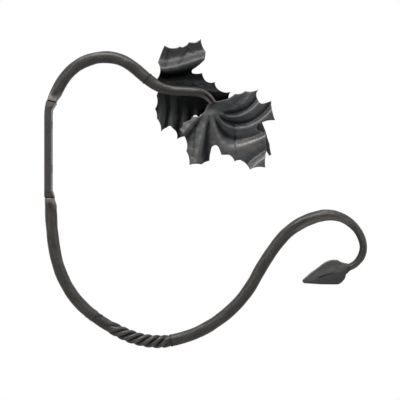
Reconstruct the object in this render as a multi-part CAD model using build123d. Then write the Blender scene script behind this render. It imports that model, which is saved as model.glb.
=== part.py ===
"""Hanging basket bracket: a round iron bar bent into one open S, with two vine leaves and a leaf-ended hook.

Millimetres, +Z up. The wall is the plane X = 0, with the room on the +X side, and the bar is bent in the plane
Y = 0. The origin is the centre of the wall plate's back face. A viewer who sees the hook on their right looks
along +Y, so -Y is the front.
"""
import math
import os

from build123d import *

os.makedirs("parts", exist_ok=True)

# Driving sizes of the bar and the plate
BAR_R = 6.0                # 12 mm round bar
PLATE_HALF = 48.0          # the plate's lower end lies this far under the origin
PLATE_WIDE = 20.0
PLATE_THICK = 7.0
PLATE_END_THICK = 9.5      # the inner face swells to this at both ends
PLATE_SWELL = 7.0          # length of the swelling
PLATE_NECK = 16.0          # width that the rounded corners leave at both ends
PLATE_BEND_R = 60.0        # the plate's top end leaves the wall on this radius
PLATE_BEND = 15.35         # degrees
SCREW_PITCH = 44.0
SCREW_MID_Z = 2.0
SCREW_R = 2.75
SCREW_HEAD_R = 5.25
WELD = 1.2                 # length of weld metal between two butted ends
WELD_SET_BACK = 0.9        # a dressed weld stays this much under the surfaces beside it
WELD_PROUD = 0.6           # an undressed one stands this much above them
END_FORGED = 9.0           # the bar's end is forged from oval to round over this length

# Bend tables: radius and degrees, positive to the left of the way along the bar; 0 degrees is a straight length
STEM_BENDS = [
    (73.0, -19.2), (51.5, -48.3), (44.3, -39.6), (82.0, -9.8), (155.0, 5.4), (46.2, 35.7), (250.0, -4.2), (21.2, -58.0),
]
LONG_BENDS = [
    (END_FORGED, 0), (249.0, 11.3), (99.0, 42.3), (163.0, 13.8), (78.0, 37.1), (123.5, 48.2), (202.0, -12.4),
    (70.0, -39.6), (35.6, -87.0), (21.2, -84.0),
]
STALK_FROM = 121.5         # lengths along the upper route: where the stalk is welded on
SCARF_AT = 131.0           # lengths along the long route: middle of the slanting joint
TWIST_END = 213.5          # end of the twisted bar
TAPER_FROM = 417.0         # the hook is drawn out from here on

# Twisted bar: four rounded ridges, as of a grooved square bar
RIDGE_R = 3.75             # radius of one ridge
RIDGE_OUT = 2.9            # distance from the bar's axis to a ridge's centre
TWIST_LEAD = 35.0          # length of one whole turn
TWIST_EASE = 22.0          # the turning and the grooves grow over this length
SCARF_SLOPE = 8.0          # slope of the slanting joint at its left end, in degrees
SCARF_ANGLE = 44.5         # between that joint and the bar

# Drawn-out end of the hook and its leaf
HOOK_TIP_R = 3.4
TIP_THICK = 2.4            # half thickness of the hook leaf at its midrib
TIP_LOW, TIP_HIGH = (257.8, -132.5), (304.0, -118.5)   # midrib from the tip to the neck, X and Z
TIP_FADE = 20.0            # the leaf would thin to nothing this far from its midrib
NECK_LONG = 7.0

# Leaves
SHEET = 1.6
SEAT_Y = 4.6               # the stalk's flat, where the rear leaf is welded on
FRONT_SEAT_Y = 1.6         # the flat at the stalk's end, on the front leaf
STALK_R = 5.0
STALK_END_R = 2.6
REAR_PLUG_AT = 134.0       # length along the stem where a plug weld holds the rear leaf from behind
REAR_PLUG_R = 2.0
FRONT_PLUG = (168.3, 45.0)
FRONT_PLUG_R = 1.5
PLUG_LONG = 2.0
PLEAT_TURN = 27.0          # degrees between the front leaf's pleats
PLEAT_RISE = 0.035         # rise of a pleat per millimetre from the leaf's base

# Edges, clockwise from the front: X and Z of each tooth or hollow, and how far the arc to the next one cuts in
REAR_EDGE = [
    (112.5, 63.0, 0), (111.0, 70.0, 3.2), (112.6, 87.4, 0), (119.2, 105.2, 2.6), (139.1, 104.2, 0.6),
    (143.7, 108.3, 0), (149.5, 108.0, 0.6), (155.8, 111.9, 1), (160.5, 99.1, -0.4), (159.6, 89.9, -0.6),
    (147.4, 80.4, 1.6), (149.2, 76.6, 0.4), (157.2, 77.4, 0.8), (161.2, 69.0, 1.2), (170.0, 68.4, 1.6),
    (175.5, 58.8, 1.2), (186.0, 58.0, 1), (184.0, 50.0, 1), (190.0, 42.0, 1.2), (178.0, 38.5, 1.5),
    (168.0, 33.0, 2), (159.0, 36.5, 1), (154.0, 32.0, 2.6), (146.6, 32.0, 1), (148.0, 24.0, 2),
    (141.5, 20.5, 1.4), (144.0, 12.5, 1.4), (131.6, 10.2, 2.2), (127.2, 21.4, 2), (121.4, 22.0, 0.6),
    (115.6, 17.5, 1.6), (111.4, 31.4, 0.8), (109.5, 41.0, 1.6), (111.3, 53.6, 0), (112.5, 57.0, 0),
]
FRONT_EDGE = [
    (164.5, 47.2, 0), (171.0, 47.8, 0.4), (178.9, 49.6, 0.8), (190.1, 55.7, 1.2), (200.3, 58.6, 1.4),
    (213.8, 60.6, 1.8), (213.4, 49.7, 0.8), (217.2, 45.8, 0.3), (226.8, 49.0, 1.2), (230.6, 29.1, 1.6),
    (213.6, 24.4, 0.5), (211.4, 21.6, 0.5), (213.2, 18.4, 0), (220.8, 16.4, 0.4), (221.4, -1.2, 0.9),
    (219.9, -18.9, 1.6), (204.4, -20.9, 1.4), (195.2, -11.4, 0.5), (189.2, -12.8, 1), (183.6, -6.2, 0),
    (176.3, -6.3, 0), (173.6, 1.0, 2.2), (166.8, 1.5, 0.5), (164.4, -12.2, 0.6), (156.4, -15.9, 0.8),
    (144.4, -16.4, 1.2), (141.4, -2.6, 0.8), (141.6, 7.2, 1), (134.0, 19.4, 1.6), (137.6, 26.4, 0.4),
    (145.6, 29.4, 0.4), (146.6, 32.2, 0), (154.4, 32.2, 0), (159.6, 37.6, 0), (162.4, 43.8, 0),
]
FLAP_EDGE = [
    (210.5, 25.2, 0), (217.0, 27.2, 0), (221.7, 17.0, 0.3), (225.8, 5.7, 0.4), (228.0, -4.6, 0),
    (225.6, -6.0, 0.6), (216.0, 6.0, 0), (210.5, 15.0, 0),
]
TIP_EDGE = [
    (257.5, -130.8, 0), (266.6, -122.8, 0.2), (275.7, -116.1, -0.3), (283.4, -111.5, -0.5), (292.5, -110.8, 0),
    (295.4, -112.6, 0.3), (302.5, -114.2, 0), (302.5, -121.8, 0), (300.3, -128.7, 0), (296.0, -134.0, -0.5),
    (293.2, -135.4, 0), (277.0, -135.4, 0), (259.2, -134.3, -0.8),
]


def bar_route(start, heading, bends):
    """Tangent arcs and straight lengths in the plane Y = 0, from a start point and a heading in degrees."""
    edges, point, way = [], Vector(*start), heading
    for radius, turn in bends:
        toward = (math.cos(math.radians(way)), math.sin(math.radians(way)))
        if turn == 0:
            edge = Line(point, point + Vector(*toward) * radius)
        else:
            edge = JernArc(point, toward, radius, turn)
        edges.append(edge)
        point, way = edge @ 1, way + turn
    return Plane.XZ * Wire([e for line in edges for e in line.edges()])


def station(path, length):
    """The plane square to a path at a length along it: its x axis is depth, its y axis points left of the way."""
    share = length / path.length
    return Plane(origin=path @ share, x_dir=(0, 1, 0), z_dir=path % share)


def outline(points):
    """Closed face in the bar's plane from points (x, z, sag): each side is an arc that cuts in by its sag."""
    sides = []
    for (x0, z0, sag), (x1, z1, _) in zip(points, points[1:] + points[:1]):
        a, b = Vector(x0, z0), Vector(x1, z1)
        if sag == 0:
            sides.append(Line(a, b))
            continue
        chord = b - a
        inward = Vector(chord.Y, -chord.X).normalized()
        sides.append(ThreePointArc(a, (a + b) * 0.5 + inward * sag, b))
    return Plane.XZ * make_face([e for side in sides for e in side.edges()])


def spread(low, high, step):
    """Evenly spaced values from low to high, about a step apart."""
    count = int((high - low) / step)
    return [low + (high - low) * i / count for i in range(count + 1)]


def sheet_leaf(face, depth, margin=2.0, step=6.0):
    """A sheet shaped by depth(x, z) and cut to an outline."""
    box = face.bounding_box()
    xs = spread(box.min.X - margin, box.max.X + margin, step)
    zs = spread(box.min.Z - margin, box.max.Z + margin, step)
    grid = [[Vector(x, depth(x, z), z) for z in zs] for x in xs]
    skin = Face.make_surface_from_array_of_points(grid, tol=0.1, min_deg=3)
    return extrude(face, 60, both=True) & Solid.extrude(skin, Vector(0, SHEET, 0))


def bump(value, width):
    """A smooth bump, 1 at zero and near 0 from twice the width on."""
    return math.exp(-((value / width) ** 2))


# Wall plate: a bar end forged flat, straight against the wall and bent away from it at the top
bend_turn = math.radians(PLATE_BEND)
straight_top = PLATE_HALF - PLATE_BEND_R * math.sin(bend_turn)
back_top = (PLATE_BEND_R * (1 - math.cos(bend_turn)), PLATE_HALF)
up = (math.sin(bend_turn), math.cos(bend_turn))
out = (math.cos(bend_turn), -math.sin(bend_turn))


def from_top(outward, along=0.0):
    """A point of the bar's plane measured from the back corner of the plate's top end."""
    return (back_top[0] + out[0] * outward + up[0] * along, back_top[1] + out[1] * outward + up[1] * along)


inner_r = PLATE_BEND_R - PLATE_THICK
swell_turn = bend_turn - PLATE_SWELL / inner_r
mid_turn = swell_turn / 2


def on_inner(angle):
    """A point of the plate's inner face on its bend."""
    return (PLATE_BEND_R - inner_r * math.cos(angle), straight_top + inner_r * math.sin(angle))


def on_back(angle):
    """A point of the plate's back face on its bend."""
    x = PLATE_BEND_R * (1 - math.cos(angle))
    return (x, straight_top + PLATE_BEND_R * math.sin(angle))


side_view = [
    Line((0, -PLATE_HALF), (0, straight_top)),
    ThreePointArc((0, straight_top), on_back(bend_turn / 2), back_top),
    Line(back_top, from_top(PLATE_END_THICK)),
    Line(from_top(PLATE_END_THICK), on_inner(swell_turn)),
    ThreePointArc(on_inner(swell_turn), on_inner(mid_turn), (PLATE_THICK, straight_top)),
    Line((PLATE_THICK, straight_top), (PLATE_THICK, PLATE_SWELL - PLATE_HALF)),
    Line((PLATE_THICK, PLATE_SWELL - PLATE_HALF), (PLATE_END_THICK, -PLATE_HALF)),
    Line((PLATE_END_THICK, -PLATE_HALF), (0, -PLATE_HALF)),
]
plate = extrude(Plane.XZ * make_face(side_view), PLATE_WIDE / 2, both=True)
front_view = Rectangle(PLATE_WIDE, 2 * PLATE_HALF)
front_view = chamfer(front_view.vertices(), length=6, length2=(PLATE_WIDE - PLATE_NECK) / 2)
long_edges = plate.edges().filter_by(lambda e: abs(e.center().Y) > PLATE_WIDE / 2 - 0.01)
plate = fillet(long_edges.filter_by(lambda e: abs((e % 0.5).Y) < 0.5 and e.length > 3), 1.8)
for z in (SCREW_MID_Z - SCREW_PITCH / 2, SCREW_MID_Z + SCREW_PITCH / 2):
    seat = Plane(origin=(PLATE_THICK, 0, z), z_dir=(1, 0, 0))
    plate -= seat * CounterSinkHole(SCREW_R, SCREW_HEAD_R, PLATE_THICK + 2)
plate &= extrude(Plane.YZ * front_view, 40, both=True)


# Bar from the plate up and over: oval at the seam, round after it
def forged_end(path, side):
    """The bar's end beside the plate: an oval flush with the bar's wall side grows into the round bar."""
    oval = Pos(0, (BAR_R - PLATE_END_THICK / 2) * side) * Ellipse(PLATE_NECK / 2, PLATE_END_THICK / 2)
    return loft([station(path, 0) * oval, station(path, END_FORGED) * Circle(BAR_R)])


def round_bar(path, start, end, radius=BAR_R):
    """A round bar along a path between two lengths."""
    way = path.trim(start / path.length, end / path.length)
    return sweep(station(way, 0) * Circle(radius), path=way)


def drawn_bar(path, radii):
    """A round bar that tapers through (length, radius) pairs along a path."""
    return loft([station(path, at) * Circle(radius) for at, radius in radii])


def tapered(radii, step):
    """More pairs between (length, radius) pairs, no farther apart than a step."""
    pairs = [radii[0]]
    for (s0, r0), (s1, r1) in zip(radii, radii[1:]):
        count = math.ceil((s1 - s0) / step)
        pairs += [(s0 + (s1 - s0) * i / count, r0 + (r1 - r0) * i / count) for i in range(1, count + 1)]
    return pairs


def block(low, high):
    """A block between two corners."""
    size = [b - a for a, b in zip(low, high)]
    return Pos(*low) * Box(*size, align=(Align.MIN, Align.MIN, Align.MIN))


def half_space(plane, size=60):
    """A large block on a plane's far side."""
    return extrude(plane * Rectangle(size, size), size)


seam_oval = Ellipse(PLATE_NECK / 2 - WELD_SET_BACK, PLATE_END_THICK / 2 - WELD_SET_BACK)
stem_path = bar_route(from_top(BAR_R, WELD), 90 - PLATE_BEND, STEM_BENDS)
upper_stem = forged_end(stem_path, 1) + round_bar(stem_path, END_FORGED, STALK_FROM)
seam_x, seam_z = from_top(PLATE_END_THICK / 2)
top_seam = Plane(origin=(seam_x, 0, seam_z), x_dir=(0, 1, 0), z_dir=(up[0], 0, up[1]))
upper_weld = extrude(top_seam * seam_oval, WELD)

# Stalk: the bar's last length, drawn out, with flats for the two leaves
stalk_weld = round_bar(stem_path, STALK_FROM, STALK_FROM + WELD, BAR_R + WELD_PROUD / 2)
stem_long = stem_path.length
stalk_radii = [
    (STALK_FROM + WELD, BAR_R), (STALK_FROM + 18, 5.3), (STALK_FROM + 40, STALK_R - 0.2), (STALK_FROM + 54, 4.5),
    (STALK_FROM + 63, 3.6), (stem_long, STALK_END_R),
]
stalk = drawn_bar(stem_path, tapered(stalk_radii, 6))
stalk -= block((109, SEAT_Y, 40), (157, 20, 80))
stalk -= block((163, FRONT_SEAT_Y, 30), (183, 20, 60))

# Long bar: down from the plate, through the twist and out to the hook
long_path = bar_route((BAR_R, -PLATE_HALF - WELD), -90, LONG_BENDS)
foot_seam = Plane(origin=(PLATE_END_THICK / 2, 0, -PLATE_HALF), x_dir=(0, 1, 0), z_dir=(0, 0, -1))
lower_weld = extrude(foot_seam * seam_oval, WELD)
scarf_point = long_path @ (SCARF_AT / long_path.length)
scarf_way = math.radians(SCARF_SLOPE)
scarf_normal = (math.sin(scarf_way), 0, -math.cos(scarf_way))
scarf = Plane(origin=scarf_point, x_dir=(0, 1, 0), z_dir=scarf_normal)
lower_bar = forged_end(long_path, -1) + round_bar(long_path, END_FORGED, SCARF_AT + 12)
lower_bar -= half_space(scarf)


def ridged(plane, out_by, outer, turn):
    """Section of the twisted bar: four arcs that meet in four grooves."""
    ridge = outer - out_by
    corner = out_by * math.sqrt(0.5)
    groove = corner + math.sqrt(ridge ** 2 - corner ** 2)
    arcs = []
    for i in range(4):
        a = math.radians(turn + 90 * i)
        ends = [Vector(math.cos(a + d), math.sin(a + d)) * groove for d in (-math.pi / 4, math.pi / 4)]
        arcs.append(ThreePointArc(ends[0], Vector(math.cos(a), math.sin(a)) * outer, ends[1]))
    return plane * make_face([e for arc in arcs for e in arc.edges()])


def eased(length, ease):
    """Rises smoothly from 0 to 1 over a length."""
    share = min(max(length / ease, 0), 1)
    return share * share * (3 - 2 * share)


def twist_sections(start, end, step):
    """Sections of the twisted bar: grooves and turning both grow from its left end and stay to the right one."""
    count = math.ceil((end - start) / step)
    turn, faces = 20.0, []
    for i in range(count + 1):
        at = start + (end - start) * i / count
        grown = eased(at - SCARF_AT + 6, TWIST_EASE) * (1 - 0.8 * eased(at - end + 8, 8))
        turn += 360 / TWIST_LEAD * eased(at - SCARF_AT + 6, TWIST_EASE) * (end - start) / count
        outer = BAR_R - 0.4 + (RIDGE_R + RIDGE_OUT - BAR_R + 0.4) * grown
        faces.append(ridged(station(long_path, at), RIDGE_OUT * (0.15 + 0.85 * grown), outer, turn))
    return faces


twisted_bar = loft(twist_sections(SCARF_AT - 12, TWIST_END, 2.6))
scarf_far = Plane(origin=scarf_point + Vector(*scarf_normal) * WELD, x_dir=(0, 1, 0), z_dir=scarf_normal)
twisted_bar = twisted_bar & half_space(scarf_far, 200)
bead = Ellipse(BAR_R + WELD_PROUD / 3, (BAR_R + WELD_PROUD / 3) / math.sin(math.radians(SCARF_ANGLE)))
scarf_weld = extrude(scarf * bead, WELD)
twist_weld = round_bar(long_path, TWIST_END, TWIST_END + WELD, BAR_R + WELD_PROUD / 2)

# Hook: round, then drawn out to a thin neck
hook_long = long_path.length
hook_radii = [
    (TAPER_FROM, BAR_R), (TAPER_FROM + 20, 5.0), (TAPER_FROM + 40, 4.1), (TAPER_FROM + 62, 3.8),
    (hook_long, HOOK_TIP_R),
]
hook_bar = round_bar(long_path, TWIST_END + WELD, TAPER_FROM) + drawn_bar(long_path, tapered(hook_radii, 7))

# Hook leaf: a lens-shaped leaf with a midrib, forged from the neck
tip_run = Vector(TIP_HIGH[0] - TIP_LOW[0], TIP_HIGH[1] - TIP_LOW[1])
rib = Plane(
    origin=(TIP_LOW[0] - 6 * tip_run.normalized().X, 0, TIP_LOW[1] - 6 * tip_run.normalized().Y),
    x_dir=(0, 1, 0),
    z_dir=(tip_run.X, 0, tip_run.Y),
)
lens = Polygon((TIP_THICK, 0), (0, TIP_FADE), (-TIP_THICK, 0), (0, -TIP_FADE), align=None)
hook_leaf = extrude(outline(TIP_EDGE), 20, both=True) & extrude(rib * lens, tip_run.length + 12)
neck_from = station(long_path, hook_long)
neck_start = neck_from.offset(WELD)
neck_end = neck_from.offset(WELD + NECK_LONG)
hook_leaf &= half_space(neck_start, 100)
hook_leaf += loft([neck_start * Circle(HOOK_TIP_R), neck_end * Ellipse(TIP_THICK - 0.6, 6.0)])
neck_weld = extrude(neck_from * Circle(HOOK_TIP_R + WELD_PROUD / 2), WELD)


def front_depth(x, z):
    """Depth of the front leaf's face: it leans forward as it hangs and is drawn into pleats that sweep outward."""
    u, v = x - 166, z - 46
    reach = math.hypot(u, v)
    angle = (math.degrees(math.atan2(v, u)) - 120) % 360 - 240
    sweep_by = 0.75 * (1 + math.tanh((angle + 65) / 20))
    fold = math.cos(math.radians((angle - sweep_by * (reach - 31) + 13.5) * 360 / PLEAT_TURN))
    lean = 1.2 + 0.08 * (u + math.hypot(u, 10)) - 0.8 + 0.3 * v
    pleated = lean + PLEAT_RISE * reach * fold * (1 - bump(reach, 14))
    near = bump(math.hypot(x - 168, z - 46), 8)
    return pleated * (1 - near) + (FRONT_SEAT_Y - 0.5) * near


def flap_depth(x, z):
    """Depth of the lobe folded back behind the front leaf's middle: it starts inside the sheet of the lobe above."""
    top = 25.4 + 0.3 * (x - 211)
    return front_depth(x, top) + SHEET / 2 + 0.75 * (top - z)


def rear_depth(x, z):
    """Depth of the rear leaf's face: it lies on the stalk, sinks behind it on both sides and folds over above."""
    v = z - (56.4 + 7.6 * math.exp(-max(x - 110.5, -2) / 7))
    along = x - 115
    if v > 0:
        ridge = 21 + 0.32 * (along - 3)
        depth = 11 * (1 - bump(v, 9)) - 9 * bump(v - ridge, 7)
    else:
        rib_wave = 0.7 * math.cos(2 * math.pi * (x - 122) / 12)
        depth = (12 + rib_wave) * (1 - bump(v, 14)) - 5 * (1 - bump(v, 32))
    return SEAT_Y - 0.4 + depth + 0.08 * (along - 35 + math.hypot(along - 35, 8))


def plug_weld(spot, seat_y, radius):
    """Filler that runs from a flat on the stalk back through the leaf and stands a little proud behind it."""
    return Plane(origin=(spot[0], seat_y, spot[1]), z_dir=(0, 1, 0)) * extrude(Circle(radius), PLUG_LONG)


rear_leaf = sheet_leaf(outline(REAR_EDGE), rear_depth) - block((105, -20, 46), (157, SEAT_Y, 72))
rear_spot = stem_path @ (REAR_PLUG_AT / stem_path.length)
rear_leaf_weld = plug_weld((rear_spot.X, rear_spot.Z), SEAT_Y, REAR_PLUG_R)
rear_leaf -= rear_leaf_weld
front_leaf = sheet_leaf(outline(FRONT_EDGE), front_depth) + sheet_leaf(outline(FLAP_EDGE), flap_depth)
front_leaf -= block((160, -20, 42.5), (171, FRONT_SEAT_Y, 51))
front_leaf_weld = plug_weld(FRONT_PLUG, FRONT_SEAT_Y, FRONT_PLUG_R) - stalk
front_leaf -= front_leaf_weld

parts = {
    "wall_plate": plate,
    "plate_weld_upper": upper_weld,
    "plate_weld_lower": lower_weld,
    "upper_stem": upper_stem,
    "stalk_weld": stalk_weld,
    "leaf_stalk": stalk,
    "rear_leaf": rear_leaf,
    "front_leaf": front_leaf,
    "rear_leaf_weld": rear_leaf_weld,
    "front_leaf_weld": front_leaf_weld,
    "lower_bar": lower_bar,
    "scarf_weld": scarf_weld,
    "twisted_bar": twisted_bar,
    "twist_weld": twist_weld,
    "hook_bar": hook_bar,
    "neck_weld": neck_weld,
    "hook_leaf": hook_leaf,
}
for name, part in parts.items():
    print(name, "solids", len(part.solids()), "volume", round(part.volume))
    export_step(part, f"parts/{name}.step")
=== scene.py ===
# %% [markdown]
# # A forged hanging basket bracket
# One round iron bar is bent into an open S. It is forged flat where it meets the wall, part of its length
# is twisted, two vine leaves of sheet iron sit on its upper end, and its lower end is drawn out into a hook
# with a leaf of its own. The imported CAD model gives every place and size. This script makes finer surfaces
# for the pieces that show hammer work, and gives all of them a waxed iron finish.

# %% Load the frame
import math

import bpy
import numpy as np
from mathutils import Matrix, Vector
from mathutils.geometry import delaunay_2d_cdt


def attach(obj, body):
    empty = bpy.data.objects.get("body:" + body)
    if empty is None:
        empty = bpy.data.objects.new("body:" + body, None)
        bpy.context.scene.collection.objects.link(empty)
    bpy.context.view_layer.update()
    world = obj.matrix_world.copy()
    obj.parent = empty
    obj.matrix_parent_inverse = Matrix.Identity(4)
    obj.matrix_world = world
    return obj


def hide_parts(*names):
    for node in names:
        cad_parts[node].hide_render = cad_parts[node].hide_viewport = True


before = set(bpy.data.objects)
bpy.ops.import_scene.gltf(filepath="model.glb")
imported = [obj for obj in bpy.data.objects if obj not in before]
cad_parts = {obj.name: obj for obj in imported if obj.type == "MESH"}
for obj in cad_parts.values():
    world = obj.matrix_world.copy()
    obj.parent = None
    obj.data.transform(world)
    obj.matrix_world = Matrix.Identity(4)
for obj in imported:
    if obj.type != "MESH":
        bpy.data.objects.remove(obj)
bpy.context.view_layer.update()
scene = bpy.context.scene
MM = 0.001

# %% [markdown]
# ## Sizes that the CAD model was built with
# A smith works from a bend table: a radius and an angle for each bend, one after the other. The same two
# tables place the bar here. Angles are positive to the left of the way along the bar, and a bend of 0
# degrees is a straight length.

# %% Bend tables and driving sizes, in millimetres and degrees
BAR_R = 6.0
PLATE_HALF = 48.0
PLATE_END_THICK = 9.5
PLATE_NECK = 16.0
PLATE_BEND_R = 60.0
PLATE_BEND = 15.35
WELD = 1.2
END_FORGED = 9.0
STALK_FROM = 121.5
SCARF_AT = 131.0
TWIST_END = 213.5
TAPER_FROM = 417.0
HOOK_TIP_R = 3.4
NECK_LONG = 7.0
STEM_BENDS = [
    (73.0, -19.2), (51.5, -48.3), (44.3, -39.6), (82.0, -9.8), (155.0, 5.4), (46.2, 35.7), (250.0, -4.2),
    (21.2, -58.0),
]
LONG_BENDS = [
    (END_FORGED, 0), (249.0, 11.3), (99.0, 42.3), (163.0, 13.8), (78.0, 37.1), (123.5, 48.2), (202.0, -12.4),
    (70.0, -39.6), (35.6, -87.0), (21.2, -84.0),
]
tilt = math.radians(PLATE_BEND)
STEM_START = (
    PLATE_BEND_R * (1 - math.cos(tilt)) + BAR_R * math.cos(tilt) + WELD * math.sin(tilt),
    PLATE_HALF - BAR_R * math.sin(tilt) + WELD * math.cos(tilt),
)
LONG_START = (BAR_R, -PLATE_HALF - WELD)


def route_length(bends):
    """Length of a bend table: radius times angle for a bend, and the first number for a straight length."""
    return sum(radius if turn == 0 else radius * math.radians(abs(turn)) for radius, turn in bends)


STEM_LONG = route_length(STEM_BENDS)
HOOK_LONG = route_length(LONG_BENDS)
print("upper route", round(STEM_LONG, 1), "mm, long route", round(HOOK_LONG, 1), "mm")


# %% [markdown]
# ## Walking along the bar
# Every bar piece starts from the bar's middle line. A bend is an arc, so the place and the heading at any
# length on it have a closed formula, and each bend starts where the one before it ended.

# %% Points and headings along a bend table
def along_bend(x, z, way, bend, length):
    """The place and heading at a length along one bend, which turns by bend radians per millimetre. The
    place moves by the change of the heading's sine and cosine over bend, or straight on where bend is 0."""
    if bend == 0:
        return x + length * math.cos(way), z + length * math.sin(way), way + 0 * length
    turned = way + bend * length
    return x + (np.sin(turned) - math.sin(way)) / bend, z - (np.cos(turned) - math.cos(way)) / bend, turned


def along_route(start, heading, bends, lengths):
    """X, Z and heading at each length along a bend table. The last bend also takes lengths past its end."""
    xs, zs, ways = (np.zeros_like(lengths) for _ in range(3))
    x, z, way, done = start[0], start[1], math.radians(heading), 0.0
    for count, (radius, turn) in enumerate(bends):
        long = route_length([(radius, turn)])
        bend = 0.0 if turn == 0 else math.copysign(1 / radius, turn)
        here = (lengths >= done) & ((lengths <= done + long) | (count == len(bends) - 1))
        xs[here], zs[here], ways[here] = along_bend(x, z, way, bend, lengths[here] - done)
        x, z, way = along_bend(x, z, way, bend, long)
        done += long
    return xs, zs, ways


# %% [markdown]
# ## Skins from whole arrays
# Each skin's points are worked out together by a formula, and its faces join neighbours in a grid. Each point
# also keeps how light or dark the iron is painted there, because that follows from the shape: crests are
# lighter by rubbing and a painted highlight, hollows darker by soot and painted shade.

# %% Meshes from whole arrays
def new_mesh(name, points, faces, wear_and_light, slot_name):
    """A mesh object from points in millimetres and faces, riding on the bracket's only body. The
    wear_and_light value is kept with each point: above 0 on crests, lighter by rubbing and a painted
    highlight, below 0 in hollows, darker by soot and painted shade."""
    mesh = bpy.data.meshes.new(name)
    mesh.from_pydata((points * MM).tolist(), [], faces)
    mesh.polygons.foreach_set("use_smooth", np.full(len(mesh.polygons), True))
    mesh.attributes.new("wear_and_light", "FLOAT", "POINT").data.foreach_set("value", wear_and_light.astype(np.float32))
    mesh.update()
    piece = bpy.data.objects.new(name, mesh)
    scene.collection.objects.link(piece)
    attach(piece, "root")
    print(name, len(mesh.vertices), "points", len(mesh.polygons), "faces")
    return piece


def closed_grid(ring, first_point, last_point):
    """Points and faces of rows of ring points, closed by a fan to a point at either end."""
    rows, columns = ring.shape[:2]
    points = np.vstack([ring.reshape(-1, 3), first_point, last_point])
    i, j = np.meshgrid(np.arange(rows - 1), np.arange(columns), indexing="ij")
    k = (j + 1) % columns
    quads = np.stack([(i + 1) * columns + j, (i + 1) * columns + k, i * columns + k, i * columns + j], -1)
    edge = np.arange(columns)
    after = (edge + 1) % columns
    first, last = rows * columns, rows * columns + 1
    near = np.stack([after, np.full(columns, first), edge], -1)
    far = np.stack([np.full(columns, last), after + (rows - 1) * columns, edge + (rows - 1) * columns], -1)
    return points, quads.reshape(-1, 4).tolist() + near.tolist() + far.tolist()


def tube_grid(centres, lefts, depths, radii, angles):
    """Rings round a path: each point is its centre plus the radius times the cosine of its angle towards
    the depth direction and the sine towards the left. Both ends are closed."""
    ring = centres[:, None, :] + radii[:, :, None] * (
        np.cos(angles)[None, :, None] * depths[:, None, :] + np.sin(angles)[None, :, None] * lefts[:, None, :]
    )
    return closed_grid(ring, centres[:1], centres[-1:])


# %% Bars along a bend table
def bar_piece(name, route, lengths, radius, slot_name, ring=48, shift=None, relief=1.2, added_light=None):
    """A bar along a bend table: radius(lengths, angles) gives its section, and shift moves the section left.
    Its wear_and_light value is how far a point stands above its ring's mean radius, as a share of the relief,
    plus added_light."""
    start, heading, bends = route
    xs, zs, ways = along_route(start, heading, bends, lengths)
    zero = np.zeros_like(xs)
    centres = np.stack([xs, zero, zs], -1)
    lefts = np.stack([-np.sin(ways), zero, np.cos(ways)], -1)
    depths = np.stack([zero, zero + 1, zero], -1)
    if shift is not None:
        centres = centres + lefts * shift[:, None]
    angles = np.linspace(0, 2 * np.pi, ring, endpoint=False)
    radii = radius(lengths[:, None], angles[None, :])
    points, faces = tube_grid(centres, lefts, depths, radii, angles)
    # Standing out lightens the iron, by rubbing and a painted highlight. Sinking in darkens it, by soot and
    # painted shade.
    wear_and_light = (radii - radii.mean(1, keepdims=True)) / relief
    if added_light is not None:
        wear_and_light = wear_and_light + added_light(lengths[:, None], angles[None, :])
    wear_and_light = np.clip(wear_and_light, -1, 1)
    return new_mesh(name, points, faces, np.append(wear_and_light.ravel(), [0, 0]), slot_name)


STEM = (STEM_START, 90 - PLATE_BEND, STEM_BENDS)
LONG = (LONG_START, -90, LONG_BENDS)


# %% [markdown]
# ## Hammered round bar
# A forged bar is never quite round. The hammer leaves shallow flats, longer along the bar than across it,
# and a few soft dents. A handful of sine waves with lengths that don't divide into each other gives that
# surface without repeating, and it stays under a quarter of a millimetre deep.

# %% Hammer marks and the forged ends
def smooth_step(value):
    """0 below 0, 1 above 1, and a smooth rise between."""
    share = np.clip(value, 0, 1)
    return share * share * (3 - 2 * share)


def hammered(lengths, angles, depth=0.14, phase=0.0):
    """Depth of the hammer marks: four waves, each along the bar and round it, clipped into shallow
    flats."""
    waves = (
        np.sin(lengths / 4.7 + 2 * angles + phase)
        + np.sin(lengths / 7.9 - 3 * angles + 1.3 + phase)
        + 0.7 * np.sin(lengths / 3.1 + 4 * angles + 2.1)
        + 0.6 * np.sin(lengths / 12.7 + angles + 0.4 + phase)
    )
    return depth * np.clip(waves, -1.6, 1.1)


SQUARE_POWER = 5
ROUND_POWER = 2


def forged_end(lengths, angles):
    """Radius of an end that grows from the plate's section into the round bar. It is a superellipse: 1 over
    the n-th root of the summed n-th powers of cosine over half width and sine over half thickness, n from 5
    to 2."""
    grown = smooth_step(lengths / END_FORGED)
    wide = PLATE_NECK / 2 + (BAR_R - PLATE_NECK / 2) * grown
    thick = PLATE_END_THICK / 2 + (BAR_R - PLATE_END_THICK / 2) * grown
    power = SQUARE_POWER + (ROUND_POWER - SQUARE_POWER) * smooth_step(lengths / (1.6 * END_FORGED))
    return (np.abs(np.cos(angles) / wide) ** power + np.abs(np.sin(angles) / thick) ** power) ** (-1 / power)


def end_shift(lengths, side):
    """How far the oval's centre sits towards the wall, so that the back stays flush with it."""
    return (BAR_R - PLATE_END_THICK / 2) * side * (1 - smooth_step(lengths / END_FORGED))


# %% [markdown]
# ## Upper stem
# The stem climbs from the plate and bends over towards the leaves. A smith could bend it hot round the horn
# of the anvil. Its first few millimetres keep the plate's squarer section, so the skin starts as a
# superellipse and is round after the forged length.

# %% Upper stem
lengths = np.linspace(0, STALK_FROM, 170)
stem = bar_piece(
    "upper_stem_skin", STEM, lengths, lambda s, a: forged_end(s, a) + hammered(s, a, 0.12), "bar_iron",
    shift=end_shift(lengths, 1),
)
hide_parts("upper_stem")

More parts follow.
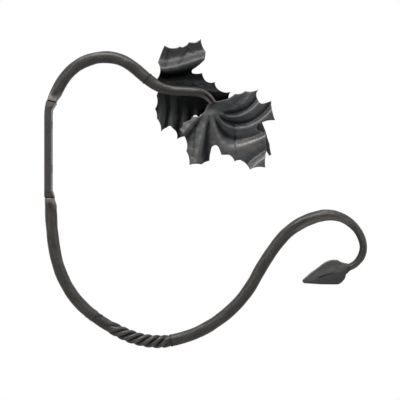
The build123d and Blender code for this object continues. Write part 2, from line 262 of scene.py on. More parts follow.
# %% [markdown]
# ## Weld seams at the plate's ends
# The plate's ends are butted to the bars and welded. The seam lies a little under the surfaces beside it and
# carries dark weld scale and painted shade, so it shows as a thin dark line. Each skin is a slice of the
# plate's end section, as long as the weld, with the slight ripple that welding leaves.

# %% Weld seams at the plate's ends
SEAM_SUNK = 0.9
SEAM_BACK_SUNK = 0.05
SEAM_UNDER = 0.12
SEAM_RIPPLE = 0.12
SEAM_RIPPLES = 17
SEAM_ROWS = 6
# Weld scale and painted shade: how much darker the sunk seam is painted.
SEAM_SCALE_AND_SHADE = -0.5


def plate_seam(name, start, heading, side, node):
    """A slice of the plate's end section, as long as the weld, ending where the bar starts. Its section is
    the bar's forged end with its half sizes reduced by the sinking, plus a sine ripple round it."""
    way = math.radians(heading)
    run, left = np.array([math.cos(way), 0, math.sin(way)]), np.array([-math.sin(way), 0, math.cos(way)])
    steps = np.linspace(-WELD, 0, SEAM_ROWS)
    centres = np.array([start[0], 0, start[1]]) + steps[:, None] * run
    centres = centres + left * end_shift(np.zeros(1), side)
    angles = np.linspace(0, 2 * np.pi, 64, endpoint=False)
    wide, thick = PLATE_NECK / 2 - SEAM_SUNK, PLATE_END_THICK / 2 - SEAM_BACK_SUNK
    powers = np.abs(np.cos(angles) / wide) ** SQUARE_POWER + np.abs(np.sin(angles) / thick) ** SQUARE_POWER
    section = powers ** (-1 / SQUARE_POWER) - SEAM_UNDER + SEAM_RIPPLE * np.sin(angles * SEAM_RIPPLES)
    lefts, depths, radii = (np.tile(row, (SEAM_ROWS, 1)) for row in (left, [0.0, 1.0, 0.0], section))
    points, faces = tube_grid(centres, lefts, depths, radii, angles)
    seam = new_mesh(name, points, faces, np.full(len(points), SEAM_SCALE_AND_SHADE), "weld")
    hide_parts(node)
    return seam


seams = [
    plate_seam("upper_seam_skin", STEM_START, 90 - PLATE_BEND, 1, "plate_weld_upper"),
    plate_seam("lower_seam_skin", LONG_START, -90, -1, "plate_weld_lower"),
]

# %% [markdown]
# ## Lower bar
# The bar runs down from the plate and swings out from the wall. It ends at a slanting joint, where a long
# seam gives a fire weld more to hold. The skin runs on a little under that seam, so no gap shows.

# %% Lower bar, down to the slanting joint
lengths = np.linspace(0, SCARF_AT + 1.0, 170)
lower = bar_piece(
    "lower_bar_skin", LONG, lengths,
    lambda s, a: forged_end(s, a) + hammered(s, a, 0.12, 1.0), "bar_iron", shift=end_shift(lengths, -1),
)
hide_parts("lower_bar")

# %% [markdown]
# ## Twisted length
# A square bar is grooved along its four faces, heated and turned, so its corners become four rounded ridges
# that climb round it. Each ridge is an arc of a circle set off the bar's axis, and the distance of that arc
# from the axis has a closed formula. Turning the section steadily along the bar makes the twist, and the
# grooves and the turning both grow out of the plain end, as they do where the heat faded.

# %% Twisted bar
RIDGE_R = 3.75
RIDGE_OUT = 2.9
TWIST_LEAD = 35.0
TWIST_FROM = SCARF_AT + 3
TWIST_EASE = 30.0
TWIST_AT = 20.0
RIDGE_STAND = 1.17
PLAIN_GROOVE = 0.15
PLAIN_UNDER = 0.4
GROOVE_FADE = 8.0
GROOVE_FADED = 0.8


def twisted(lengths, angles):
    """Radius of four ridges. With the angle counted from the nearest ridge, it is off cos plus the root of
    ridge squared less (off sin) squared, where off is the ridge's distance from the axis and ridge its
    radius."""
    s = lengths[:, 0]
    speed = smooth_step((s - TWIST_FROM) / TWIST_EASE)
    turn = math.radians(TWIST_AT) + np.cumsum(speed) * (s[1] - s[0]) * 2 * math.pi / TWIST_LEAD
    grown = speed * (1 - GROOVE_FADED * smooth_step((s - s[-1] + GROOVE_FADE) / GROOVE_FADE))
    off = RIDGE_OUT * (PLAIN_GROOVE + (1 - PLAIN_GROOVE) * grown) * RIDGE_STAND
    plain = BAR_R - PLAIN_UNDER
    ridge = plain + (RIDGE_R + RIDGE_OUT - plain) * grown - off
    local = (angles + turn[:, None] + math.pi / 4) % (math.pi / 2) - math.pi / 4
    radius = off[:, None] * np.cos(local) + np.sqrt(ridge[:, None] ** 2 - (off[:, None] * np.sin(local)) ** 2)
    return radius + hammered(lengths, angles, 0.05)


lengths = np.linspace(SCARF_AT - 4, TWIST_END, 330)
twist = bar_piece("twisted_bar_skin", LONG, lengths, twisted, "twist_iron", ring=96, relief=1.4)
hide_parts("twisted_bar")

# %% [markdown]
# ## Weld in the slanting joint
# Two bars lapped on slanting faces could be fire welded here. From outside, such a weld is a thin ring that
# runs slantwise round the bar. A plane that cuts a cylinder at an angle gives it.

# %% Weld in the slanting joint before the twist
SCARF_ANGLE = 44.5
SCARF_PROUD = 0.1
SCARF_CROWN = 0.5
SCARF_RIPPLE = 0.06
SCARF_WEAR = -0.25


def scarf_seam():
    """A slanting ring: on a plane at an angle to the bar, the length along it is the middle plus the bar's
    radius times the sine round the bar over the plane's tangent."""
    angles = np.linspace(0, 2 * np.pi, 72, endpoint=False)
    slant = BAR_R / math.tan(math.radians(SCARF_ANGLE)) * np.sin(angles)
    across = np.linspace(-0.5, 0.5, 6)[:, None] * WELD / math.sin(math.radians(SCARF_ANGLE))
    lengths = SCARF_AT + slant[None, :] + across
    radii = BAR_R + SCARF_PROUD - SCARF_CROWN * across**2 + SCARF_RIPPLE * np.sin(9 * angles)[None, :]
    xs, zs, ways = along_route(*LONG, lengths.ravel())
    xs, zs, ways = (values.reshape(lengths.shape) for values in (xs, zs, ways))
    side = radii * np.sin(angles)[None, :]
    ring = np.stack([xs - side * np.sin(ways), radii * np.cos(angles)[None, :], zs + side * np.cos(ways)], -1)
    points, faces = closed_grid(ring, ring[:1].mean(1), ring[-1:].mean(1))
    return new_mesh("scarf_seam_skin", points, faces, np.full(len(points), SCARF_WEAR), "weld")


scarf = scarf_seam()
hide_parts("scarf_weld")
seams.append(scarf)

# %% [markdown]
# ## Hook
# The bar's last 85 mm are drawn out thin and curled over. Drawing out is done with many blows on a few
# sides, so the round section turns into a soft polygon there, and its flats catch the light in long bands.

# %% Hook bar
HOOK_TAPER = [
    (0, BAR_R), (TAPER_FROM, BAR_R), (TAPER_FROM + 20, 5.0), (TAPER_FROM + 40, 4.1), (TAPER_FROM + 62, 3.8),
    (HOOK_LONG, HOOK_TIP_R),
]
HOOK_SIDES = 6
CURL_FLAT_AT = 1.27 * math.pi
# Where round the bar the painted highlight on the curl's inner flat is centred.
FLAT_HIGHLIGHT_AT = 1.25 * math.pi


def drawn_out(lengths, angles):
    """The tapered radius, times a six-sided section that fades in: cosine of a twelfth of a turn over the
    cosine of the angle from the middle of the nearest side. A wider flat, at a set distance from the axis,
    is cut on the inside of the curl."""
    taper = np.interp(lengths, [s for s, _ in HOOK_TAPER], [r for _, r in HOOK_TAPER])
    half = math.pi / HOOK_SIDES
    local = (angles - 0.35 - lengths / 90) % (2 * half) - half
    polygon = math.cos(half) / np.cos(local)
    share = 0.75 * smooth_step((lengths - TAPER_FROM + 70) / 80)
    radius = taper * (1 + share * (polygon - 0.94)) + hammered(lengths, angles, 0.11, 2.0)
    aside = np.clip(angles - CURL_FLAT_AT, -1.2, 1.2)
    flat = taper * (1 - 0.17 * smooth_step((lengths - TAPER_FROM + 50) / 40)) / np.cos(aside)
    return np.minimum(radius, np.where(np.abs(aside) < 1.1, flat, radius))


def flat_highlight(lengths, angles):
    """A painted highlight on the flat inside the curl: a bell curve round the bar, faded in and out along it."""
    here = smooth_step((lengths - TAPER_FROM + 40) / 18) * (1 - smooth_step((lengths - TAPER_FROM - 22) / 26))
    return 1.3 * here * np.exp(-(((angles - FLAT_HIGHLIGHT_AT) / 0.45) ** 2))


lengths = np.linspace(TWIST_END + WELD, HOOK_LONG, 420)
hook = bar_piece("hook_bar_skin", LONG, lengths, drawn_out, "bar_iron", added_light=flat_highlight)
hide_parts("hook_bar")

# %% [markdown]
# ## Leaf stalk
# The stem's end is split lengthwise with a chisel. A groove starts on the side, and at the tip the two
# strands part, one for each leaf. A section of two circles set apart describes both: the distance between
# them grows along the stalk.

# %% Leaf stalk
STALK_TAPER = [(122.7, 6.0), (139.5, 5.3), (161.5, 4.8), (175.5, 4.5), (184.5, 3.9), (STEM_LONG, 3.3)]
STALK_GROOVE = 0.6
GROOVE_FROM = 132
PARTED_FROM = 172


def stalk_radius(lengths, angles):
    """The tapered radius less a groove on the front, blended into two circles side by side: off-axis
    distance times cosine plus the root of the strand's radius squared less that distance times sine,
    squared."""
    taper = np.interp(lengths, [s for s, _ in STALK_TAPER], [r for _, r in STALK_TAPER])
    groove = STALK_GROOVE * np.exp(-(((angles - math.pi - 0.35) / 0.13) ** 2))
    groove = groove * smooth_step((lengths - GROOVE_FROM) / 10)
    parted = smooth_step((lengths - PARTED_FROM) / 16)
    off = taper * 0.5 * parted
    strand = taper - off
    turned = angles % math.pi - math.pi / 2
    circles = off * np.cos(turned) + np.sqrt(strand**2 - (off * np.sin(turned)) ** 2)
    return circles - groove * (1 - parted) + hammered(lengths, angles, 0.08, 3.0) * (1 - 0.6 * parted)


lengths = np.linspace(STALK_FROM + WELD, STEM_LONG - 0.4, 150)
stalk = bar_piece("leaf_stalk_skin", STEM, lengths, stalk_radius, "bar_iron", ring=96, relief=1.6)
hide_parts("leaf_stalk")

# %% [markdown]
# ## Leaves
# The leaves are cut from sheet iron and drawn into pleats over a grooved block, while hot. The outline is
# kept as corners with the bow of each side. Inside it, points on a staggered grid are joined by a Delaunay
# triangulation, and the depth of every point comes from one formula per leaf, so the pleats run through the
# whole sheet. The cut edge is rounded, as a file leaves it.

# %% Points round an outline and inside it
SHEET = 1.6
EDGE_ROUND = 0.8
EDGE_INSET = 0.4


def outline_points(edge, step=0.7):
    """Points round an outline: the chord of each side plus 4 bow t (1 - t) to the right of the way
    round."""
    sides = []
    for (x0, z0, bow), (x1, z1, _) in zip(edge, edge[1:] + edge[:1]):
        long = math.hypot(x1 - x0, z1 - z0)
        count = max(2, int(long / step))
        t = np.arange(count) / count
        aside = 4 * bow * t * (1 - t) / long
        x, z = x0 + (x1 - x0) * t + (z1 - z0) * aside, z0 + (z1 - z0) * t - (x1 - x0) * aside
        sides.append(np.stack([x, z], -1))
    return np.vstack(sides)


def ring_tests(points, ring):
    """Distance from each point to a closed ring, and whether it is inside by the even-odd rule."""
    a, b = ring[None], np.roll(ring, -1, 0)[None]
    span = b - a
    gaps, inside = [], []
    for part in np.array_split(points, 1 + len(points) // 2000):
        to = part[:, None] - a
        share = np.clip((to * span).sum(-1) / (span**2).sum(-1), 0, 1)
        gaps.append(np.linalg.norm(to - share[..., None] * span, axis=-1).min(1))
        level = part[:, None, 1]
        rise = np.where(span[..., 1] == 0, 1, span[..., 1])
        crossing = a[..., 0] + (level - a[..., 1]) * span[..., 0] / rise
        hit = ((a[..., 1] > level) != (b[..., 1] > level)) & (part[:, None, 0] < crossing)
        inside.append(hit.sum(1) % 2 == 1)
    return np.concatenate(gaps), np.concatenate(inside)


# %% Sheet over an outline
def sheet_mesh(edge, face, cell=0.62):
    """A sheet over an outline. face(x, z, gap) gives depth, half thickness and the wear_and_light value of
    rubbing, soot and painted light and shade, with gap the distance from the edge. The front lies at depth
    less half and the back at depth plus half, joined by a wall round the rim."""
    ring = outline_points(edge)
    way = np.roll(ring, -1, 0) - np.roll(ring, 1, 0)
    way /= np.linalg.norm(way, axis=1)[:, None]
    inner = ring + EDGE_INSET * np.stack([way[:, 1], -way[:, 0]], -1)
    low, high = ring.min(0), ring.max(0)
    x, z = np.meshgrid(np.arange(low[0], high[0], cell), np.arange(low[1], high[1], cell * 0.87))
    x[1::2] += cell / 2
    grid = np.stack([x.ravel(), z.ravel()], -1)
    grid_gap, grid_in = ring_tests(grid, ring)
    inner_gap, inner_in = ring_tests(inner, ring)
    flat = np.vstack([ring, inner[inner_in & (inner_gap > 0.37)], grid[grid_in & (grid_gap > EDGE_ROUND)]])
    border = list(range(len(ring)))[::-1]
    cut = delaunay_2d_cdt([Vector(point) for point in flat.tolist()], [], [border], 1, 1e-5)
    flat, faces = np.array([tuple(v) for v in cut[0]]), np.array(cut[2])
    gap, _ = ring_tests(flat, ring)
    depth, half, wear_and_light = face(flat[:, 0], flat[:, 1], gap)
    half = half * (0.3 + 0.7 * np.sqrt(1 - (1 - np.clip(gap / EDGE_ROUND, 0, 1)) ** 2))
    count = len(flat)
    sides = np.concatenate([faces[:, [0, 1]], faces[:, [1, 2]], faces[:, [2, 0]]])
    rim = sides[~np.isin(sides[:, 0] * count + sides[:, 1], sides[:, 1] * count + sides[:, 0])]
    wall = np.stack([rim[:, 1], rim[:, 0], rim[:, 0] + count, rim[:, 1] + count], -1)
    points = np.vstack([
        np.stack([flat[:, 0], depth - half, flat[:, 1]], -1),
        np.stack([flat[:, 0], depth + half, flat[:, 1]], -1),
    ])
    return points, faces.tolist() + (faces[:, ::-1] + count).tolist() + wall.tolist(), np.tile(wear_and_light, 2)


def joined(first, second):
    """Two meshes of points, faces and wear as one."""
    moved = [[corner + len(first[0]) for corner in face] for face in second[1]]
    return np.vstack([first[0], second[0]]), first[1] + moved, np.append(first[2], second[2])


# %% Bell curves and chased lines
def bump(offset, width):
    """A bell curve of height 1."""
    return np.exp(-((offset / width) ** 2))


def chased(x, z, start, end, width=0.9):
    """1 on a line from start to end and 0 away from it: a bell curve of the distance to the line."""
    run = np.array(end, float) - start
    share = np.clip(((x - start[0]) * run[0] + (z - start[1]) * run[1]) / run.dot(run), 0, 1)
    return bump(np.hypot(x - start[0] - share * run[0], z - start[1] - share * run[1]), width)


# %% [markdown]
# ## Front leaf
# This leaf hangs forward from the stalk's end. Its pleats fan out from there and sweep to one side, and one
# lobe is folded back behind the sheet. A fan of cosines in the angle about the stalk's end gives the
# pleats, and the folded lobe is a second sheet that starts inside the first.

# %% Front leaf's corners: x, z and the inward bow of the side that follows
FRONT_EDGE = [
    (164.5, 47.2, 0), (171.0, 47.8, 0.4), (178.9, 49.6, 0.8), (190.1, 55.7, 1.2), (200.3, 58.6, 1.4),
    (213.8, 60.6, 1.8), (213.4, 49.7, 0.8), (217.2, 45.8, 0.3), (226.8, 49.0, 1.2), (230.6, 29.1, 1.6),
    (213.6, 24.4, 0.5), (211.4, 21.6, 0.5), (213.2, 18.4, 0), (220.8, 16.4, 0.4), (221.4, -1.2, 0.9),
    (219.9, -18.9, 1.6), (204.4, -20.9, 1.4), (195.2, -11.4, 0.5), (189.2, -12.8, 1), (183.6, -6.2, 0),
    (176.3, -6.3, 0), (173.6, 1.0, 2.2), (166.8, 1.5, 0.5), (164.4, -12.2, 0.6), (156.4, -15.9, 0.8),
    (144.4, -16.4, 1.2), (141.4, -2.6, 0.8), (141.6, 7.2, 1), (134.0, 19.4, 1.6), (137.6, 26.4, 0.4),
    (145.6, 29.4, 0.4), (146.6, 32.2, 0), (154.4, 32.2, 0), (159.6, 37.6, 0), (162.4, 43.8, 0),
]
FLAP_EDGE = [
    (210.5, 25.2, 0), (217.0, 27.2, 0), (221.7, 17.0, 0.3), (225.8, 5.7, 0.4), (228.0, -4.6, 0),
    (225.6, -6.0, 0.6), (216.0, 6.0, 0), (210.5, 15.0, 0),
]

# %% Front leaf with the lobe folded back behind it
PLEAT_TURN = 27.0
PLEAT_RISE = 0.035
FRONT_SEAT_Y = 1.6
FRONT_VEINS = [((189, 26), (191, -4)), ((163, 24), (157, -8)), ((150, 22), (148, -8))]


def front_depth(x, z):
    """Depth of the front leaf: it leans forward as it hangs and is drawn into pleats that sweep outward.
    Each pleat is a cosine whose phase runs ahead on one flank, so the flank that looks up is the steep
    one."""
    u, v = x - 166, z - 46
    reach = np.hypot(u, v)
    angle = (np.degrees(np.arctan2(v, u)) - 120) % 360 - 240
    sweep_by = 0.75 * (1 + np.tanh((angle + 65) / 20))
    swept = angle - sweep_by * (reach - 31)
    phase = np.radians((swept + 13.5) * 360 / PLEAT_TURN)
    grown = smooth_step((reach - 10) / 16) * (1 - 0.9 * smooth_step((swept + 8) / 10))
    fold = np.cos(phase + 0.5 * np.cos(phase)) * grown
    lean = 0.4 + 0.08 * (u + np.hypot(u, 10)) + 0.3 * v
    near = bump(np.hypot(x - 168, z - 46), 8)
    return (lean + PLEAT_RISE * reach * fold) * (1 - near) + (FRONT_SEAT_Y - 0.5) * near, fold


def front_face(x, z, gap):
    """The front leaf's depth with chased veins, its half thickness, and its wear_and_light value: the edge
    lighter by rubbing, the crests lighter by rubbing and a painted highlight, the pleats' valleys darker by
    painted shade, the chased veins darker, painted light on the lower lobe and painted shade on the lobe
    above it."""
    depth, fold = front_depth(x, z)
    veins = sum(chased(x, z, a, b, 1.3) for a, b in FRONT_VEINS)
    dents = 0.17 * np.sin(x / 2.3 + 1.1 * np.sin(z / 3.7)) * np.sin(z / 2.9 + 0.9 * np.sin(x / 4.3))
    # Painted light on the lower lobe that faces the lamp, painted shade on the lobe above it, and a little
    # painted shade all over.
    painted_light_and_shade = 0.7 * bump(np.hypot(x - 206, z - 2), 22) - 0.6 * bump(np.hypot(x - 186, z - 32), 18) - 0.15
    # Edge lighter by rubbing, crests lighter by rubbing and a painted highlight, pleat valleys darker by
    # painted shade.
    wear_and_light = 0.7 * bump(gap, EDGE_ROUND) + 0.6 * np.maximum(-fold, 0) ** 3 - 0.75 * np.maximum(fold, 0)
    wear_and_light = wear_and_light - 0.35 * veins + painted_light_and_shade
    return depth + 0.3 * veins + dents, np.full_like(x, SHEET / 2), np.clip(wear_and_light, -1, 1)


def flap_face(x, z, gap):
    """The folded lobe: it starts inside the sheet of the lobe above and runs back as it goes down. It carries
    painted shade, less along its edge, which is lighter by rubbing.
    """
    top = 25.4 + 0.3 * (x - 211)
    depth = front_depth(x, top)[0] + SHEET / 2 + 0.75 * (top - z)
    ribs = np.sin((x - 0.2 * z) * 1.1)
    return depth + 0.15 * ribs, np.full_like(x, SHEET / 2), np.clip(bump(gap, 1.0) - 0.4, -1, 1)


front_sheets = joined(sheet_mesh(FRONT_EDGE, front_face), sheet_mesh(FLAP_EDGE, flap_face))
front_leaf = new_mesh("front_leaf_skin", *front_sheets, "leaf_iron")
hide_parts("front_leaf")

# %% [markdown]
# ## Rear leaf
# This leaf lies behind the stalk, which runs along its midrib. Above the stalk the sheet sinks back and rolls
# forward again at a crest. Below it, the sheet hangs in upright ribs. The hollow under the crest, the sheet
# above the stalk, the valleys between the ribs and the band next to the stalk are darkened with painted
# shade, and the crest carries a painted highlight.

# %% Rear leaf's corners, in the same form
REAR_EDGE = [
    (112.5, 63.0, 0), (111.0, 70.0, 3.2), (112.6, 87.4, -0.4), (119.2, 105.2, 1.3), (130.2, 102.6, 0.5),
    (134.6, 104.4, 0.9), (139.1, 104.2, 0.6), (143.7, 108.3, 0),
    (149.5, 108.0, 0.6), (155.8, 111.9, 1), (160.5, 99.1, -0.4), (159.6, 89.9, -0.6),
    (147.4, 80.4, 1.6), (149.2, 76.6, 0.4), (157.2, 77.4, 0.8), (161.2, 69.0, 1.2), (170.0, 68.4, 1.6),
    (175.5, 58.8, 1.2), (186.0, 58.0, 1), (184.0, 50.0, 1), (190.0, 42.0, 1.2), (178.0, 38.5, 1.5),
    (168.0, 33.0, 2), (159.0, 36.5, 1), (154.0, 32.0, 2.6), (146.6, 32.0, 1), (148.0, 24.0, 2),
    (141.5, 20.5, 1.4), (144.0, 12.5, 1.4), (131.6, 10.2, 2.2), (127.2, 21.4, 2), (121.4, 22.0, 0.6),
    (115.6, 17.5, 1.6), (111.4, 31.4, 0.8), (109.5, 41.0, 1.6), (111.3, 53.6, 0), (112.5, 57.0, 0),
]

# %% Rear leaf, behind the stalk that runs along its midrib
SEAT_Y = 4.6
REAR_VEINS = [((120, 84), (123, 99)), ((133, 87), (143, 101)), ((140, 72), (166, 56)), ((124, 44), (120, 20))]


def rear_face(x, z, gap):
    """Depth of the rear leaf: it lies on the stalk, sinks behind it on both sides and folds over above."""
    v = z - (56.4 + 7.6 * np.exp(-np.maximum(x - 110.5, -2) / 7))
    along = x - 115
    crest = bump(v - (21 + 0.32 * (along - 3)), 7)
    above = 11 * (1 - bump(v, 9)) - 9 * crest
    ribs = np.cos(2 * np.pi * (x - 122) / 12 + 0.4 * np.sin(z / 9))
    below = (12 + 1.1 * ribs) * (1 - bump(v, 14)) - 5 * (1 - bump(v, 32))
    veins = sum(chased(x, z, a, b, 1.3) for a, b in REAR_VEINS)
    dents = 0.17 * np.sin(x / 2.6 + np.sin(z / 3.1)) * np.sin(z / 3.3 + np.sin(x / 3.9))
    depth = SEAT_Y - 0.4 + np.where(v > 0, above, below) + 0.08 * (along - 35 + np.hypot(along - 35, 8))
    # Painted shade in the hollow under the crest.
    under = -1.3 * smooth_step((v + 1) / 3) * (1 - smooth_step((v - 12 - 0.2 * along) / 9))
    # Painted shade below the stalk: in the valleys between the ribs, next to the stalk, over the sheet away
    # from its left end, and a little all over.
    painted_shade_below = -0.5 * np.maximum(ribs, 0) - 0.25 - 0.5 * bump(v, 18) - 0.3 * smooth_step((along - 12) / 12)
    # Edges lighter by rubbing, a painted highlight on the crest and painted shade over the sheet above the
    # stalk.
    wear_and_light = 0.6 * bump(gap, EDGE_ROUND) + np.where(v > 0, 0.35 * crest + under - 0.4, painted_shade_below) - 0.3 * veins
    return depth + 0.3 * veins + dents, np.full_like(x, SHEET / 2), np.clip(wear_and_light, -1, 1)


rear_leaf = new_mesh("rear_leaf_skin", *sheet_mesh(REAR_EDGE, rear_face), "leaf_iron")
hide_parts("rear_leaf")

# %% [markdown]
# ## Leaf on the hook's tip
# The bar's end is hammered out into a small pointed leaf, thickest along its rib. A chisel leaves a short
# crease on the rib. The neck is a tube whose section goes from the bar's round to the leaf's flat.

# %% Hook leaf's corners, in the same form
TIP_EDGE = [
    (257.5, -130.8, 0), (266.6, -122.8, 0.2), (275.7, -116.1, -0.3), (283.4, -111.5, -0.5),
    (292.5, -110.8, 0), (295.4, -112.6, 0.3), (302.5, -114.2, 0), (302.5, -121.8, 0.2),
    (300.3, -128.7, -0.4), (295.6, -134.2, -0.3), (291.8, -135.5, 0), (277.0, -135.4, 0),
    (259.2, -134.3, -0.8),
]

# %% Small leaf on the hook's tip
TIP_THICK = 2.4
TIP_FADE = 20.0
TIP_LOW = np.array([257.8, -132.5])
TIP_HIGH = np.array([304.0, -118.5])
NECK_ROWS = 24
NECK_TALL = 5.4


def tip_face(x, z, gap):
    """A leaf thickest at its rib: half thickness falls evenly with the distance from the rib line. A short
    crease is chased along the rib, the upper edge is turned forward, and broad dents lie below the rib."""
    run = (TIP_HIGH - TIP_LOW) / np.linalg.norm(TIP_HIGH - TIP_LOW)
    across = (z - TIP_LOW[1]) * run[0] - (x - TIP_LOW[0]) * run[1]
    along = (x - TIP_LOW[0]) * run[0] + (z - TIP_LOW[1]) * run[1]
    half = np.maximum(TIP_THICK * (1.08 - np.hypot(across, 2.2) / TIP_FADE), 0.5)
    crease = bump(across + 0.8, 0.8) * smooth_step((along - 12) / 6) * smooth_step((34 - along) / 8)
    rim = bump(gap - 0.5, 0.9) * smooth_step(across / 3)
    hollow = bump(across - 5.0, 3.0) * smooth_step((along - 4) / 10)
    dents = 0.12 * np.sin(along / 2.1) * np.sin(across / 1.7 + 0.6)
    half = half - 0.5 * crease + 0.4 * rim - 0.5 * hollow + dents
    # Painted light: the forward-turned rim brightest and the whole leaf lighter. Painted shade in the crease
    # and over the half below the rib.
    wear_and_light = 0.8 * rim - 1.1 * crease + 0.4 - 0.3 * smooth_step(-across / 3)
    return np.zeros_like(x), half, np.clip(wear_and_light, -1, 1)


def neck_mesh():
    """The neck between the hook's tip and its leaf: an ellipse whose half sizes go smoothly from the bar's
    radius to just under the leaf's half thickness and to the neck's half height, along a straight line from
    the bar's end."""
    xs, zs, ways = along_route(LONG_START, -90, LONG_BENDS, np.array([HOOK_LONG]))
    run = np.array([math.cos(ways[0]), 0, math.sin(ways[0])])
    steps = np.linspace(0.2, WELD + NECK_LONG + 2, NECK_ROWS)
    centres = np.array([xs[0], 0, zs[0]]) + steps[:, None] * run
    share = smooth_step(steps / 4.5)[:, None]
    angles = np.linspace(0, 2 * np.pi, 40, endpoint=False)[None, :]
    deep = HOOK_TIP_R + (TIP_THICK - 0.5 - HOOK_TIP_R) * share
    tall = HOOK_TIP_R + (NECK_TALL - HOOK_TIP_R) * share
    radii = 1 / np.sqrt((np.cos(angles) / deep) ** 2 + (np.sin(angles) / tall) ** 2)
    lefts, depths = (np.tile(row, (NECK_ROWS, 1)) for row in ([-run[2], 0, run[0]], [0.0, 1.0, 0.0]))
    points, faces = tube_grid(centres, lefts, depths, radii, angles[0])
    return points, faces, np.zeros(len(points))


tip = new_mesh("hook_leaf_skin", *joined(sheet_mesh(TIP_EDGE, tip_face, 0.45), neck_mesh()), "leaf_iron")
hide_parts("hook_leaf")

# %% [markdown]
# ## Waxed black iron
# Hot wax and soot leave forge scale nearly black, with a soft sheen. On crests and edges the iron is painted
# a little lighter, browner and more metallic, partly for rubbing by hands and files and partly as a painted
# highlight. In hollows it is painted near black, partly for soot and partly as painted shade. The material
# mixes three tones by a cloudy noise and by the wear_and_light value that each surface carries, and its bump
# has two layers: broad hammer facets and a fine scale grain.

# %% Node helpers
def linked(tree, kind, inputs, **settings):
    """A node with its settings, its values and its links made in one go. Returns the node."""
    node = tree.nodes.new(kind)
    for key, value in settings.items():
        setattr(node, key, value)
    for key, value in inputs.items():
        if isinstance(value, bpy.types.NodeSocket):
            tree.links.new(value, node.inputs[key])
        else:
            node.inputs[key].default_value = value
    return node


def mixed(tree, share, first, second):
    """A colour mix by a share. Inputs 6 and 7 of the mix node are its colours, and output 2 is its result."""
    node = linked(tree, "ShaderNodeMix", {0: share, 6: first, 7: second}, data_type="RGBA")
    return node.outputs[2]


# %% Waxed iron
BARE_METAL = 0.2
# Metallic in the hollows, where soot and painted shade make the iron near black.
SOOT_AND_SHADE_METAL = 0.9


def iron(name, cool, warm, rubbed_and_lit, facets, sheen_rough):
    """Principled iron: two scale tones by noise, a lighter tone where wear_and_light is high, for rubbing and
    a painted highlight, a near-black one where it is low, for soot and painted shade, and a two-layer bump.
    """
    material = bpy.data.materials.new(name)
    material.use_nodes = True
    tree = material.node_tree
    shader = tree.nodes["Principled BSDF"]
    place = tree.nodes.new("ShaderNodeTexCoord").outputs["Object"]
    cloud = linked(
        tree, "ShaderNodeTexNoise", {"Vector": place, "Scale": 95.0, "Detail": 8.0, "Roughness": 0.68},
    )
    grain = linked(tree, "ShaderNodeTexNoise", {"Vector": place, "Scale": 1400.0, "Detail": 3.0})
    cells = linked(tree, "ShaderNodeTexVoronoi", {"Vector": place, "Scale": facets}, feature="SMOOTH_F1")
    wear_and_light = tree.nodes.new("ShaderNodeAttribute")
    wear_and_light.attribute_name = "wear_and_light"
    tone = linked(
        tree, "ShaderNodeMapRange",
        {"Value": cloud.outputs["Fac"], "From Min": 0.3, "From Max": 0.7, "To Min": 0.0, "To Max": 1.0},
    )
    speckle = linked(tree, "ShaderNodeMath", {0: grain.outputs["Fac"], 1: 0.9}, operation="MULTIPLY")
    crest = linked(tree, "ShaderNodeMath", {0: wear_and_light.outputs["Fac"], 1: speckle.outputs[0]}, operation="ADD")
    # Crests lighter: rubbing plus a painted highlight.
    rubbed_and_lit_share = linked(
        tree, "ShaderNodeMapRange", {"Value": crest.outputs[0], "From Min": 0.55, "From Max": 1.5},
    )
    # Hollows darker: soot plus painted shade.
    soot_and_shade_share = linked(
        tree, "ShaderNodeMapRange", {"Value": wear_and_light.outputs["Fac"], "From Min": -0.05, "From Max": -0.9},
    )
    scale = mixed(tree, tone.outputs[0], cool + (1,), warm + (1,))
    worn_and_lit = mixed(tree, rubbed_and_lit_share.outputs[0], scale, rubbed_and_lit + (1,))
    # Near-black tone of soot and painted shade in the hollows.
    dark = tuple(0.2 * value for value in cool)
    colour = mixed(tree, soot_and_shade_share.outputs[0], worn_and_lit, dark + (1,))
    tree.links.new(colour, shader.inputs["Base Color"])
    rough = linked(
        tree, "ShaderNodeMapRange",
        {"Value": cloud.outputs["Fac"], "From Min": 0.3, "From Max": 0.7, "To Min": sheen_rough - 0.07,
         "To Max": sheen_rough + 0.09},
    )
    tree.links.new(rough.outputs[0], shader.inputs["Roughness"])
    # Hollows turn metallic and near black as painted shade. Crests turn more metallic, for rubbing and a
    # painted highlight.
    bare = linked(
        tree, "ShaderNodeMapRange",
        {"Value": soot_and_shade_share.outputs[0], "To Min": BARE_METAL, "To Max": SOOT_AND_SHADE_METAL},
    )
    shiny = linked(tree, "ShaderNodeMath", {0: rubbed_and_lit_share.outputs[0], 1: 0.8}, operation="MULTIPLY")
    metal = linked(tree, "ShaderNodeMath", {0: bare.outputs[0], 1: shiny.outputs[0]}, operation="MAXIMUM")
    tree.links.new(metal.outputs[0], shader.inputs["Metallic"])
    shader.inputs["Specular IOR Level"].default_value = 0.3
    fine = linked(
        tree, "ShaderNodeBump", {"Height": grain.outputs["Fac"], "Strength": 0.5, "Distance": 0.0003},
    )
    broad = linked(
        tree, "ShaderNodeBump",
        {"Height": cells.outputs["Distance"], "Strength": 0.35, "Distance": 0.0012,
         "Normal": fine.outputs[0]},
    )
    tree.links.new(broad.outputs[0], shader.inputs["Normal"])
    return material


